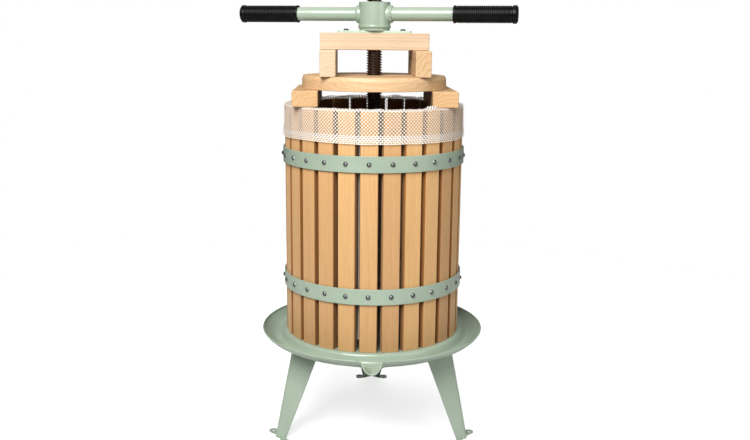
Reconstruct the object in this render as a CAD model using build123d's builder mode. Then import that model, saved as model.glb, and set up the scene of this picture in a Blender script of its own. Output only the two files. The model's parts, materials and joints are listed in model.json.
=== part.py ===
"""Basket fruit press on three legs: catch pan, slatted basket, press bag, wooden stack and screw."""

import math
import os

from build123d import *

# Stand, in millimetres: three folded legs under a raised pan floor
leg_height = 160.0
leg_sheet = 2.0
leg_foot_reach = 177.0
leg_top_reach = 142.0
leg_foot_half_width = 15.5
leg_top_half_width = 43.0
leg_fold_angle = 57.0
leg_bend_radius = 6.0
leg_plate_depth = 36.0
leg_plate_margin = 11.0
stand_turn = -1.2
leg_azimuths = {
    "leg_front_left": 210.0 + stand_turn,
    "leg_front_right": 330.0 + stand_turn,
    "leg_rear": 90.0 + stand_turn,
}

# Foot ears turned out from both sides of each leg
ear_set_back = 7.0
ear_spread = 22.0
ear_width = 14.0
ear_root_share = 0.4
ear_hole_radius = 3.0

# Catch pan pressed from one sheet
pan_sheet = 1.5
pan_seat_margin = 6.6
pan_gutter_slope = 3.5
pan_gutter_width = 10.0
pan_gutter_depth = 14.0
pan_wall_flare = 18.5
pan_rim_rise = 1.5
pan_bead_radius = 2.2
pan_bend_radius = 2.5

# Pouring spout pressed out of the pan wall at the front
spout_azimuth = 270.0 + stand_turn
spout_reach = 12.0
spout_lip_radius = 12.5
spout_root_half_width = 24.0
spout_lip_drop = 1.0
spout_side = 2.0
spout_fall = 0.5

# Bolts that hold the legs to the pan
bolt_inset = 24.0
bolt_spread = 20.0
bolt_radius = 3.0
bolt_clearance = 0.3
bolt_head_radius = 6.5
bolt_head_height = 3.3
head_dome_share = 0.8
bolt_tail = 3.0
bolt_washer_radius = 6.2
bolt_washer_thickness = 1.6
bolt_nut_flats = 10.0
bolt_nut_height = 5.0

# Trapezoidal screw thread shared by the spindle and everything that runs on it
spindle_radius = 12.0
thread_pitch = 4.0
thread_depth = 2.25
thread_flank_angle = 15.0
thread_crest = 1.46
thread_clearance = 0.3
spindle_reach = 37.0
spindle_tail = 4.0
pilot_length = 4.0
pilot_step = 0.5
pilot_chamfer = 1.0
spindle_hole_clearance = 1.5

# Base nuts and the stiffening washer that pull the spindle against the pan
base_nut_flats = 36.0
base_nut_height = 19.0
base_washer_radius = 45.0
base_washer_thickness = 6.0

# Slatted basket
basket_radius = 139.4
slat_count = 26
slat_phase = -93.8
slat_width = 26.5
slat_thickness = 13.0
slat_length = 362.0
slat_edge_radius = 1.8
slat_end_chamfer = 0.6

# Hoops round the basket and the screws through them
hoop_width = 24.0
hoop_thickness = 2.5
hoop_edge_radius = 0.6
hoop_clearance = 0.3
upper_hoop_drop = 77.0
lower_hoop_rise = 87.0
screw_head_radius = 3.7
screw_head_height = 2.6
screw_shank_radius = 1.9
screw_depth = 9.0
screw_clearance = 0.1

# Press bag: hangs inside the basket and is turned down over its rim
bag_cloth = 0.8
bag_fold = 1.0
bag_clearance = 0.4
bag_floor_lift = 10.0
bag_cuff_drop = 50.5
bag_hole_radius = 25.0

# Loose wooden stack, from the rim up
block_width = 38.5
block_thickness = 23.5
block_length = 182.0
block_edge_radius = 1.5
lower_block_offset = 104.0
upper_block_offset = 70.3
disc_radius = 112.5
disc_thickness = 20.2
disc_notch_radius = 15.0
disc_seam = 1.0
disc_bevel_width = 2.0
disc_bevel_height = 5.5
disc_edge_radius = 1.0
beam_length = 168.0
beam_depth = 38.5
beam_height = 25.8
beam_edge_radius = 1.5

# Thrust plate screwed to the beam
plate_length = 113.0
plate_depth = 36.0
plate_thickness = 3.5
plate_corner_radius = 5.0
plate_edge_radius = 0.8
plate_screw_offset = 44.0
plate_screw_head_radius = 4.0
plate_screw_head_height = 2.8
plate_screw_radius = 2.4
plate_screw_length = 20.0
plate_screw_clearance = 0.2

# Crosshead: hub, threaded bush, captive thrust washer, two tubes and their grips
washer_radius = 23.5
washer_thickness = 3.0
washer_recess = 1.4
neck_radius = 15.0
lip_radius = 16.2
lip_thickness = 0.8
washer_clearance = 0.3
hub_radius = 24.2
hub_height = 40.0
hub_chamfer = 1.2
bush_radius = 17.5
press_gap = 0.05
handle_rise = 22.0
handle_turn = -15.3
handle_half_length = 219.5
tube_radius = 10.5
tube_wall = 2.5
weld_width = 3.4
weld_length = 4.6
weld_gap = 0.1
weld_toe = 0.8
grip_length = 96.5
grip_wall = 1.7
grip_rib_height = 0.6
grip_rib_pitch = 3.2
grip_rib_share = 0.55
grip_flange_height = 1.4
grip_flange_width = 4.0
grip_end_wall = 4.0
grip_gap = 0.1

# Levels worked out from the sizes above, floor at zero
seat_z = leg_height + pan_sheet
slat_top_z = seat_z + slat_length
lower_block_z = slat_top_z + bag_fold
disc_z = lower_block_z + block_thickness
upper_block_z = disc_z + disc_thickness
beam_z = upper_block_z + block_width
plate_z = beam_z + beam_height
washer_z = plate_z + plate_thickness
hub_z = washer_z + washer_thickness
hub_top_z = hub_z + hub_height
handle_z = hub_z + handle_rise
spindle_top_z = hub_top_z + spindle_reach
thread_top_z = spindle_top_z - pilot_length
base_nut_z = leg_height - base_washer_thickness - base_nut_height
spindle_foot_z = base_nut_z - spindle_tail

# Radii worked out from the sizes above
basket_corner_radius = math.hypot(basket_radius, slat_width / 2)
basket_bore_radius = basket_radius - slat_thickness
hoop_inner_radius = basket_corner_radius + hoop_clearance
hoop_outer_radius = hoop_inner_radius + hoop_thickness
pan_seat_radius = basket_radius + pan_seat_margin
spindle_hole_radius = spindle_radius + spindle_hole_clearance
slat_step = 360.0 / slat_count
bolt_reach = leg_top_reach - bolt_inset
bolt_hole_radius = bolt_radius + bolt_clearance

os.makedirs("parts", exist_ok=True)


def save(piece, name):
    """Label a finished piece and write it under its own name."""
    piece.part.label = name
    export_step(piece.part, f"parts/{name}.step")


def radial_plane(azimuth, height=0.0):
    """Level plane whose x axis points outwards from the spindle at an azimuth."""
    angle = math.radians(azimuth)
    outwards = (math.cos(angle), math.sin(angle), 0)
    return Plane(origin=(0, 0, height), x_dir=outwards, z_dir=(0, 0, 1))


def thread_profile(clearance):
    """Radii and levels of one thread from root to root, level zero in the middle of its crest."""
    crest_radius = spindle_radius + clearance
    root_radius = crest_radius - thread_depth
    crest_half = thread_crest / 2 + clearance
    root_start = crest_half + thread_depth * math.tan(math.radians(thread_flank_angle))
    return [
        (root_radius, -root_start),
        (crest_radius, -crest_half),
        (crest_radius, crest_half),
        (root_radius, root_start),
        (root_radius, thread_pitch - root_start),
    ]


def threaded_rod(low, high, clearance=0.0):
    """Right-hand threaded rod that runs past two heights, in phase with every other one."""
    profile = thread_profile(clearance)
    first_turn = math.floor(low / thread_pitch) - 1
    last_turn = math.ceil(high / thread_pitch) + 1
    skins = []
    for turn in range(first_turn, last_turn):
        coils = [
            Edge.make_helix(thread_pitch, thread_pitch, radius, (0, 0, turn * thread_pitch + level))
            for radius, level in profile
        ]
        skins += [Face.make_surface_from_curves(below, above) for below, above in zip(coils, coils[1:])]
    for turn in (first_turn, last_turn):
        corners = [(radius, 0, turn * thread_pitch + level) for radius, level in profile]
        axis_low = (0, 0, corners[0][2])
        axis_high = (0, 0, corners[-1][2])
        core = Edge.make_line(axis_low, axis_high)
        coil = Edge.make_helix(thread_pitch, thread_pitch, corners[0][0], axis_low)
        skins.append(Face.make_surface_from_curves(core, coil))
        skins.append(Face(Wire.make_polygon([*corners, axis_high, axis_low], close=True)))
    return Solid(Shell(skins))


# Legs
def leg_corners(height):
    """Corners of the folded sheet at a height: outer side, then inner side."""
    share = height / leg_height
    ridge = leg_foot_reach + (leg_top_reach - leg_foot_reach) * share
    half = leg_foot_half_width + (leg_top_half_width - leg_foot_half_width) * share
    angle = math.radians(leg_fold_angle)
    edge = ridge - half / math.tan(angle)
    inner_edge = edge - leg_sheet * math.sin(angle)
    inner_half = half - leg_sheet * math.cos(angle)
    inner_ridge = ridge - leg_sheet / math.sin(angle)
    outer = [(edge, half), (ridge, 0), (edge, -half)]
    inner = [(inner_edge, inner_half), (inner_ridge, 0), (inner_edge, -inner_half)]
    return outer, inner


def leg_middle(height):
    """Corners of the sheet's middle at a height: left edge, ridge and right edge."""
    outer, inner = leg_corners(height)
    return [((a + c) / 2, (b + d) / 2) for (a, b), (c, d) in zip(outer, inner)]


for leg_name, azimuth in leg_azimuths.items():
    with BuildPart() as leg:
        for height in (0.0, leg_height):
            outer, inner = leg_corners(height)
            with BuildSketch(radial_plane(azimuth, height)):
                with BuildLine():
                    FilletPolyline(*outer, radius=leg_bend_radius + leg_sheet)
                    FilletPolyline(*inner, radius=leg_bend_radius)
                    Line(outer[0], inner[0])
                    Line(outer[2], inner[2])
                make_face()
        loft()

        plate_bend = leg_middle(leg_height)
        plate_edge = leg_top_reach - leg_plate_depth
        plate_half = bolt_spread + leg_plate_margin
        with BuildSketch(radial_plane(azimuth, leg_height - leg_sheet)):
            with BuildLine():
                FilletPolyline(*plate_bend, radius=leg_bend_radius + leg_sheet / 2)
                Polyline(plate_bend[2], (plate_edge, -plate_half), (plate_edge, plate_half), plate_bend[0])
            make_face()
            with Locations((bolt_reach, bolt_spread), (bolt_reach, -bolt_spread)):
                Circle(bolt_hole_radius, mode=Mode.SUBTRACT)
        extrude(amount=leg_sheet)

        left_edge, ridge, right_edge = leg_middle(0.0)
        ear_reach = leg_foot_reach - ear_set_back
        ear_half = ear_width / 2
        for side, free_edge in ((1, left_edge), (-1, right_edge)):
            ear_end = ear_spread * side
            root_x = ridge[0] + (free_edge[0] - ridge[0]) * ear_root_share
            root_y = free_edge[1] * ear_root_share
            with BuildSketch(radial_plane(azimuth)):
                with BuildLine():
                    Line((root_x, root_y), free_edge)
                    Line(free_edge, (ear_reach - ear_half, ear_end))
                    tip = (ear_reach, ear_end + ear_half * side)
                    ThreePointArc((ear_reach - ear_half, ear_end), tip, (ear_reach + ear_half, ear_end))
                    Line((ear_reach + ear_half, ear_end), (root_x, root_y))
                make_face()
                with Locations((ear_reach, ear_end)):
                    Circle(ear_hole_radius, mode=Mode.SUBTRACT)
            extrude(amount=leg_sheet)
    save(leg, leg_name)

# Catch pan
gutter_z = seat_z - pan_gutter_depth
gutter_inner_radius = pan_seat_radius + pan_gutter_slope
gutter_outer_radius = gutter_inner_radius + pan_gutter_width
rim_radius = gutter_outer_radius + pan_wall_flare
rim_z = seat_z + pan_rim_rise
lip_y = rim_radius + pan_bead_radius + spout_reach
lip_top_z = rim_z - spout_lip_drop
lip_floor_z = gutter_z - spout_fall
root_shoulder_z = rim_z - spout_side
lip_shoulder_z = lip_top_z - spout_side
spout_open_top = rim_z + 2 * pan_bead_radius
cut_root = gutter_outer_radius - pan_sheet
cut_lip = lip_y + pan_sheet


def spout_section(wall, distance, half_width, low, shoulder, top):
    """Closed outline of the spout trough at a distance in front of the spindle."""
    half = half_width + wall
    front = radial_plane(spout_azimuth)
    across = Plane(front.from_local_coords((distance, 0, 0)), front.y_dir, front.x_dir)
    with BuildSketch(across) as section:
        with BuildLine():
            ThreePointArc((-half, shoulder), (0, low - wall), (half, shoulder))
            Line((half, shoulder), (half, top))
            Line((half, top), (-half, top))
            Line((-half, top), (-half, shoulder))
        make_face()
    return section.sketch.face()


root_outside = spout_section(
    pan_sheet, gutter_outer_radius, spout_root_half_width, gutter_z, root_shoulder_z, rim_z
)
lip_outside = spout_section(pan_sheet, lip_y, spout_lip_radius, lip_floor_z, lip_shoulder_z, lip_top_z)
root_inside = spout_section(0, cut_root, spout_root_half_width, gutter_z, root_shoulder_z, spout_open_top)
lip_inside = spout_section(0, cut_lip, spout_lip_radius, lip_floor_z, lip_shoulder_z, spout_open_top)

with BuildPart() as pan:
    with BuildSketch(Plane.XZ):
        with BuildLine():
            top_skin = FilletPolyline(
                (0, seat_z),
                (pan_seat_radius, seat_z),
                (gutter_inner_radius, gutter_z),
                (gutter_outer_radius, gutter_z),
                (rim_radius, rim_z),
                radius=pan_bend_radius,
            )
            offset(top_skin, amount=pan_sheet, side=Side.RIGHT, closed=True)
        make_face()
    revolve(axis=Axis.Z)
    with BuildSketch(Plane.XZ):
        with Locations((rim_radius, rim_z - pan_bead_radius / 2)):
            Circle(pan_bead_radius)
    revolve(axis=Axis.Z)
    loft([root_outside, lip_outside])
    loft([root_inside, lip_inside], mode=Mode.SUBTRACT)
    with BuildSketch(Plane.XY.offset(leg_height)):
        Circle(spindle_hole_radius)
    extrude(amount=pan_sheet, mode=Mode.SUBTRACT)
    with BuildSketch(*[radial_plane(azimuth, leg_height) for azimuth in leg_azimuths.values()]):
        with Locations((bolt_reach, bolt_spread), (bolt_reach, -bolt_spread)):
            Circle(bolt_hole_radius)
    extrude(amount=pan_sheet, mode=Mode.SUBTRACT)
save(pan, "catch_pan")

# Leg bolts, washers and nuts
bolt_spots = []
for azimuth in leg_azimuths.values():
    for side in (1, -1):
        spot = radial_plane(azimuth).from_local_coords((bolt_reach, bolt_spread * side, 0))
        bolt_spots.append((spot.X, spot.Y))
washer_under_z = leg_height - leg_sheet - bolt_washer_thickness
nut_under_z = washer_under_z - bolt_nut_height
bolt_end_z = nut_under_z - bolt_tail

with BuildPart() as leg_bolts:
    with BuildSketch(Plane.XY.offset(bolt_end_z)):
        with Locations(*bolt_spots):
            Circle(bolt_radius)
    extrude(amount=seat_z - bolt_end_z)
    with BuildSketch(Plane.XY.offset(seat_z)):
        with Locations(*bolt_spots):
            Circle(bolt_head_radius)
    extrude(amount=bolt_head_height)
    head_rims = leg_bolts.faces().group_by(Axis.Z)[-1].edges()
    fillet(head_rims, radius=bolt_head_height * head_dome_share)
save(leg_bolts, "leg_bolts")

with BuildPart() as leg_washers:
    with BuildSketch(Plane.XY.offset(washer_under_z)):
        with Locations(*bolt_spots):
            Circle(bolt_washer_radius)
            Circle(bolt_hole_radius, mode=Mode.SUBTRACT)
    extrude(amount=bolt_washer_thickness)
save(leg_washers, "leg_washers")

with BuildPart() as leg_nuts:
    with BuildSketch(Plane.XY.offset(nut_under_z)):
        with Locations(*bolt_spots):
            RegularPolygon(bolt_nut_flats / 2, 6, major_radius=False)
            Circle(bolt_radius + press_gap, mode=Mode.SUBTRACT)
    extrude(amount=bolt_nut_height)
save(leg_nuts, "leg_nuts")

# Spindle and what clamps it to the pan
pilot_radius = spindle_radius - thread_depth - pilot_step
with BuildPart() as spindle:
    add(threaded_rod(spindle_foot_z, thread_top_z))
    split(bisect_by=Plane.XY.offset(spindle_foot_z), keep=Keep.TOP)
    split(bisect_by=Plane.XY.offset(thread_top_z), keep=Keep.BOTTOM)
    with BuildSketch(Plane.XZ):
        with BuildLine():
            Polyline(
                (0, thread_top_z),
                (pilot_radius, thread_top_z),
                (pilot_radius, spindle_top_z - pilot_chamfer),
                (pilot_radius - pilot_chamfer, spindle_top_z),
                (0, spindle_top_z),
                close=True,
            )
        make_face()
    revolve(axis=Axis.Z)
save(spindle, "spindle")


def base_nut(name, low):
    """Hexagon nut on the spindle's own thread."""
    with BuildPart() as nut:
        with BuildSketch(Plane.XY.offset(low)):
            RegularPolygon(base_nut_flats / 2, 6, major_radius=False)
        extrude(amount=base_nut_height)
        add(threaded_rod(low, low + base_nut_height, thread_clearance), mode=Mode.SUBTRACT)
    save(nut, name)


base_nut("seat_nut", seat_z)
base_nut("base_nut", base_nut_z)

with BuildPart() as base_washer:
    with BuildSketch(Plane.XY.offset(leg_height - base_washer_thickness)):
        Circle(base_washer_radius)
        Circle(spindle_hole_radius, mode=Mode.SUBTRACT)
    extrude(amount=base_washer_thickness)
save(base_washer, "base_washer")

# Basket slats, each drilled for one screw at each hoop
upper_hoop_z = slat_top_z - upper_hoop_drop
lower_hoop_z = seat_z + lower_hoop_rise
pilot_hole_radius = screw_shank_radius + screw_clearance
screw_end_radius = basket_radius - screw_depth
for index in range(slat_count):
    slat_plane = radial_plane(slat_phase + slat_step * index, seat_z)
    with BuildPart() as slat:
        with BuildSketch(slat_plane):
            with Locations((basket_radius - slat_thickness / 2, 0)):
                RectangleRounded(slat_thickness, slat_width, slat_edge_radius)
        extrude(amount=slat_length)
        ends = slat.faces().filter_by(Axis.Z).edges()
        chamfer(ends, length=slat_end_chamfer)
        slat_face = slat_plane.from_local_coords((basket_radius, 0, 0))
        drill = Plane(slat_face, -slat_plane.y_dir, -slat_plane.x_dir)
        with BuildSketch(drill):
            with Locations((0, lower_hoop_z - seat_z), (0, upper_hoop_z - seat_z)):
                Circle(pilot_hole_radius)
        extrude(amount=screw_depth + screw_clearance, mode=Mode.SUBTRACT)
    save(slat, f"slat_{index + 1:02d}")

# Hoops and their screws
for level, middle in (("upper", upper_hoop_z), ("lower", lower_hoop_z)):
    with BuildPart(Plane.XY.offset(middle)) as hoop:
        with BuildSketch(Plane.XY.offset(middle - hoop_width / 2)):
            Circle(hoop_outer_radius)
            Circle(hoop_inner_radius, mode=Mode.SUBTRACT)
        extrude(amount=hoop_width)
        fillet(hoop.edges().filter_by(GeomType.CIRCLE), radius=hoop_edge_radius)
        with PolarLocations(hoop_inner_radius, slat_count, start_angle=slat_phase):
            Cylinder(pilot_hole_radius, 4 * hoop_thickness, rotation=(0, 90, 0), mode=Mode.SUBTRACT)
    save(hoop, f"{level}_hoop")

    with BuildPart() as screw:
        with BuildSketch():
            with BuildLine():
                Polyline(
                    (hoop_outer_radius, screw_head_radius),
                    (hoop_outer_radius, screw_shank_radius),
                    (screw_end_radius, screw_shank_radius),
                    (screw_end_radius, 0),
                    (hoop_outer_radius + screw_head_height, 0),
                )
                RadiusArc(
                    (hoop_outer_radius, screw_head_radius),
                    (hoop_outer_radius + screw_head_height, 0),
                    (screw_head_radius**2 + screw_head_height**2) / (2 * screw_head_height),
                )
            make_face()
        revolve(axis=Axis.X)
    with BuildPart(Plane.XY.offset(middle)) as hoop_screws:
        with PolarLocations(0, slat_count, start_angle=slat_phase):
            add(screw.part)
    save(hoop_screws, f"{level}_hoop_screws")

# Press bag
bag_outer_radius = basket_bore_radius - bag_clearance
bag_inner_radius = bag_outer_radius - bag_cloth
cuff_inner_radius = basket_corner_radius + bag_clearance
cuff_outer_radius = cuff_inner_radius + bag_cloth
bag_floor_z = seat_z + bag_floor_lift
cuff_end_z = lower_block_z - bag_cuff_drop
with BuildPart() as press_bag:
    with BuildSketch(Plane.XZ):
        with BuildLine():
            Polyline(
                (bag_hole_radius, bag_floor_z),
                (bag_outer_radius, bag_floor_z),
                (bag_outer_radius, slat_top_z),
                (cuff_inner_radius, slat_top_z),
                (cuff_inner_radius, cuff_end_z),
                (cuff_outer_radius, cuff_end_z),
                (cuff_outer_radius, lower_block_z),
                (bag_inner_radius, lower_block_z),
                (bag_inner_radius, bag_floor_z + bag_cloth),
                (bag_hole_radius, bag_floor_z + bag_cloth),
                close=True,
            )
        make_face()
    revolve(axis=Axis.Z)
save(press_bag, "press_bag")


# Wooden stack
def loose_block(name, offset_x, low, width, height):
    """Packing block lying front to back, standing at a height."""
    with BuildPart() as block:
        with BuildSketch(Plane.XY.offset(low)):
            with Locations((offset_x, 0)):
                Rectangle(width, block_length)
        extrude(amount=height)
        fillet(block.edges(), radius=block_edge_radius)
    save(block, name)


for side_name, side in (("left", -1), ("right", 1)):
    lower_x = lower_block_offset * side
    upper_x = upper_block_offset * side
    loose_block(f"lower_block_{side_name}", lower_x, lower_block_z, block_width, block_thickness)
    loose_block(f"upper_block_{side_name}", upper_x, upper_block_z, block_thickness, block_width)

for side_name, side in (("front", -1), ("rear", 1)):
    with BuildPart() as half_disc:
        with BuildSketch(Plane.XZ):
            with BuildLine():
                Polyline(
                    (0, disc_z),
                    (disc_radius, disc_z),
                    (disc_radius, upper_block_z - disc_bevel_height),
                    (disc_radius - disc_bevel_width, upper_block_z),
                    (0, upper_block_z),
                    close=True,
                )
            make_face()
        revolve(axis=Axis.Z)
        fillet(half_disc.edges().filter_by(GeomType.CIRCLE), radius=disc_edge_radius)
        with BuildSketch(Plane.XY.offset(disc_z)):
            Circle(disc_notch_radius)
            with Locations((0, (disc_seam / 2 - disc_radius) * side)):
                Rectangle(2 * disc_radius, 2 * disc_radius)
        extrude(amount=disc_thickness, mode=Mode.SUBTRACT)
    save(half_disc, f"press_disc_{side_name}")

screw_hole_spots = [(plate_screw_offset, 0), (-plate_screw_offset, 0)]
plate_screw_end_z = washer_z - plate_screw_length
with BuildPart() as cross_beam:
    with BuildSketch(Plane.XY.offset(beam_z)):
        Rectangle(beam_length, beam_depth)
    extrude(amount=beam_height)
    fillet(cross_beam.edges(), radius=beam_edge_radius)
    with BuildSketch(Plane.XY.offset(beam_z)):
        Circle(spindle_hole_radius)
    extrude(amount=beam_height, mode=Mode.SUBTRACT)
    with BuildSketch(Plane.XY.offset(plate_screw_end_z - plate_screw_clearance)):
        with Locations(*screw_hole_spots):
            Circle(plate_screw_radius + plate_screw_clearance)
    extrude(until=Until.LAST, mode=Mode.SUBTRACT)
save(cross_beam, "cross_beam")

with BuildPart() as thrust_plate:
    with BuildSketch(Plane.XY.offset(plate_z)):
        RectangleRounded(plate_length, plate_depth, plate_corner_radius)
    extrude(amount=plate_thickness)
    fillet(thrust_plate.faces().sort_by(Axis.Z)[-1].edges(), radius=plate_edge_radius)
    with BuildSketch(Plane.XY.offset(plate_z)):
        Circle(spindle_hole_radius)
        with Locations(*screw_hole_spots):
            Circle(plate_screw_radius + plate_screw_clearance)
    extrude(amount=plate_thickness, mode=Mode.SUBTRACT)
save(thrust_plate, "thrust_plate")

with BuildPart() as plate_screws:
    with BuildSketch(Plane.XY.offset(plate_screw_end_z)):
        with Locations(*screw_hole_spots):
            Circle(plate_screw_radius)
    extrude(amount=plate_screw_length)
    with BuildSketch(Plane.XY.offset(washer_z)):
        with Locations(*screw_hole_spots):
            Circle(plate_screw_head_radius)
    extrude(amount=plate_screw_head_height)
    head_rims = plate_screws.faces().group_by(Axis.Z)[-1].edges()
    fillet(head_rims, radius=plate_screw_head_height * head_dome_share)
save(plate_screws, "plate_screws")

# Crosshead
with BuildPart() as thrust_washer:
    with BuildSketch(Plane.XZ):
        with BuildLine():
            Polyline(
                (lip_radius + washer_clearance, washer_z),
                (washer_radius, washer_z),
                (washer_radius, hub_z),
                (neck_radius + washer_clearance, hub_z),
                (neck_radius + washer_clearance, washer_z + washer_recess),
                (lip_radius + washer_clearance, washer_z + washer_recess),
                close=True,
            )
        make_face()
    revolve(axis=Axis.Z)
save(thrust_washer, "thrust_washer")

lip_top_level = washer_z + washer_recess - washer_clearance
lip_low_level = lip_top_level - lip_thickness
with BuildPart() as spindle_bush:
    with BuildSketch(Plane.XZ):
        with BuildLine():
            Polyline(
                (0, lip_low_level),
                (lip_radius, lip_low_level),
                (lip_radius, lip_top_level),
                (neck_radius, lip_top_level),
                (neck_radius, hub_z),
                (bush_radius, hub_z),
                (bush_radius, hub_top_z),
                (0, hub_top_z),
                close=True,
            )
        make_face()
    revolve(axis=Axis.Z)
    add(threaded_rod(lip_low_level, hub_top_z, thread_clearance), mode=Mode.SUBTRACT)
save(spindle_bush, "spindle_bush")

handle_planes = {
    "left": radial_plane(handle_turn + 180, handle_z),
    "right": radial_plane(handle_turn, handle_z),
}
weld_end = hub_radius + weld_length
with BuildPart() as crosshead_hub:
    with BuildSketch(Plane.XY.offset(hub_z)):
        Circle(hub_radius)
    extrude(amount=hub_height)
    chamfer(crosshead_hub.edges(), length=hub_chamfer)
    for handle_plane in handle_planes.values():
        with BuildSketch(handle_plane):
            with BuildLine():
                Polyline(
                    (bush_radius, 0),
                    (bush_radius, tube_radius + weld_width),
                    (hub_radius, tube_radius + weld_width),
                    (weld_end, tube_radius + weld_toe),
                    (weld_end, 0),
                    close=True,
                )
            make_face()
        revolve(axis=Axis(handle_plane.origin, handle_plane.x_dir))
    for handle_plane in handle_planes.values():
        side_plane = Plane(handle_plane.origin, handle_plane.y_dir, handle_plane.x_dir)
        with BuildSketch(side_plane.offset(weld_end)):
            Circle(tube_radius + weld_gap)
        extrude(amount=hub_radius - weld_end - bush_radius, mode=Mode.SUBTRACT)
    with BuildSketch(Plane.XY.offset(hub_z)):
        Circle(hub_radius - weld_gap)
    extrude(amount=hub_height)
    chamfer(crosshead_hub.edges().group_by(Axis.Z)[0], length=press_gap)
    with BuildSketch(Plane.XY.offset(hub_z)):
        Circle(bush_radius + press_gap)
    extrude(amount=hub_height, mode=Mode.SUBTRACT)
save(crosshead_hub, "crosshead_hub")

tube_end = handle_half_length - grip_end_wall - grip_gap
grip_start = handle_half_length - grip_length
grip_bore = tube_radius + grip_gap
grip_root = grip_bore + grip_wall
rib_zone_start = grip_start + grip_flange_width
rib_zone_end = handle_half_length - grip_flange_width
rib_count = math.floor((rib_zone_end - rib_zone_start) / grip_rib_pitch)
rib_pitch = (rib_zone_end - rib_zone_start) / rib_count
rib_width = rib_pitch * grip_rib_share
for side_name, handle_plane in handle_planes.items():
    handle_axis = Axis(handle_plane.origin, handle_plane.x_dir)
    with BuildPart() as handle_tube:
        with BuildSketch(handle_plane):
            with BuildLine():
                Polyline(
                    (bush_radius, tube_radius - tube_wall),
                    (bush_radius, tube_radius),
                    (tube_end, tube_radius),
                    (tube_end, tube_radius - tube_wall),
                    close=True,
                )
            make_face()
        revolve(axis=handle_axis)
        with BuildSketch(Plane.XY.offset(hub_z)):
            Circle(hub_radius)
        extrude(amount=hub_height, mode=Mode.SUBTRACT)
    save(handle_tube, f"handle_tube_{side_name}")

    ribs = []
    for index in range(rib_count):
        rib_start = rib_zone_start + rib_pitch * index + (rib_pitch - rib_width) / 2
        ribs.append((rib_start, grip_root))
        ribs.append((rib_start, grip_root + grip_rib_height))
        ribs.append((rib_start + rib_width, grip_root + grip_rib_height))
        ribs.append((rib_start + rib_width, grip_root))
    flange_radius = grip_root + grip_flange_height
    with BuildPart() as grip:
        with BuildSketch(handle_plane):
            with BuildLine():
                Polyline(
                    (grip_start, grip_bore),
                    (grip_start, flange_radius),
                    (rib_zone_start, flange_radius),
                    (rib_zone_start, grip_root),
                    *ribs,
                    (rib_zone_end, grip_root),
                    (rib_zone_end, flange_radius),
                    (handle_half_length, flange_radius - grip_flange_height),
                    (handle_half_length, 0),
                    (tube_end + grip_gap, 0),
                    (tube_end + grip_gap, grip_bore),
                    close=True,
                )
            make_face()
        revolve(axis=handle_axis)
    save(grip, f"grip_{side_name}")
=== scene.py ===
"""Basket fruit press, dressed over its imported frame: finishes, net bag, pressed pan, grips and welds."""

import json
import math

import bmesh
import bpy
from mathutils import Matrix, Vector, noise


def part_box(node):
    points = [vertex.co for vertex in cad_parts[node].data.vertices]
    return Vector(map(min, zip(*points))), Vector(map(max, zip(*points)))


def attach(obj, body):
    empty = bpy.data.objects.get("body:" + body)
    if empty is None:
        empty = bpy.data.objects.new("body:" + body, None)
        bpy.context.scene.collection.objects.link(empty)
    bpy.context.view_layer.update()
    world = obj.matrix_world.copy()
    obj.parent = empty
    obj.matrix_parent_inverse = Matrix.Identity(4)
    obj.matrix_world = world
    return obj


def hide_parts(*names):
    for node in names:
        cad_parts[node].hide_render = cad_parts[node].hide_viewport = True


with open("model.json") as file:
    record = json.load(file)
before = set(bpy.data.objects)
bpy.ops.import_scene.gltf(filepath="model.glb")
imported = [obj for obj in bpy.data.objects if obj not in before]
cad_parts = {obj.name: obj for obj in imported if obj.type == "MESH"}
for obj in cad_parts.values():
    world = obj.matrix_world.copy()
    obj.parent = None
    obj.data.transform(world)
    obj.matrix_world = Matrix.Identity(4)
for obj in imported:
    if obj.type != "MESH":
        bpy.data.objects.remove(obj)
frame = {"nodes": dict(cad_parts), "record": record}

scene = bpy.context.scene
nodes = frame["nodes"]
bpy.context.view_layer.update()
MM = 0.001
SAME_POINT = 1e-6

# Ring of slats, and the levels of its foot and its top
SLAT_COUNT = 26
SLAT_PHASE = math.radians(-93.8)
SEAT_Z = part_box("slat_01")[0][2]
SLAT_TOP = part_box("slat_01")[1][2]

# Camera at the photograph's place: distance, heading and tilt fitted to the object's own sizes
EYE = Vector((-0.0324, -1.3967, 0.6250))
TILT_DOWN = math.radians(11.659)
HEADING = math.radians(1.466)
ROLL = math.radians(0.513)
FOCAL_PIXELS = 882.14
FRAME_WIDTH = 750
SENSOR_WIDTH = 36.0

ahead = Vector((
    math.sin(HEADING) * math.cos(TILT_DOWN),
    math.cos(HEADING) * math.cos(TILT_DOWN),
    -math.sin(TILT_DOWN),
))
level = Vector((math.cos(HEADING), -math.sin(HEADING), 0))
above = level.cross(ahead)
to_right = math.cos(ROLL) * level + math.sin(ROLL) * above
to_top = math.cos(ROLL) * above - math.sin(ROLL) * level
lens = bpy.data.cameras.new("photo_camera")
lens.sensor_fit = "HORIZONTAL"
lens.sensor_width = SENSOR_WIDTH
lens.lens = SENSOR_WIDTH * FOCAL_PIXELS / FRAME_WIDTH
camera = bpy.data.objects.new("photo_camera", lens)
turn = Matrix((to_right, to_top, -ahead)).transposed().to_4x4()
camera.matrix_world = Matrix.Translation(EYE) @ turn
scene.collection.objects.link(camera)
scene.camera = camera


# Node helpers
def add_node(tree, kind, links=None, values=None, **settings):
    """New shader node with its settings, input values and incoming links."""
    made = tree.nodes.new("ShaderNode" + kind)
    for key, value in settings.items():
        setattr(made, key, value)
    for key, value in (values or {}).items():
        made.inputs[key].default_value = value
    for key, socket in (links or {}).items():
        tree.links.new(socket, made.inputs[key])
    return made


def calc(tree, operation, *terms):
    """Math node on sockets or plain numbers."""
    made = tree.nodes.new("ShaderNodeMath")
    made.operation = operation
    for place, term in zip(made.inputs, terms):
        if isinstance(term, (int, float)):
            place.default_value = term
        else:
            tree.links.new(term, place)
    return made.outputs[0]


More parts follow.
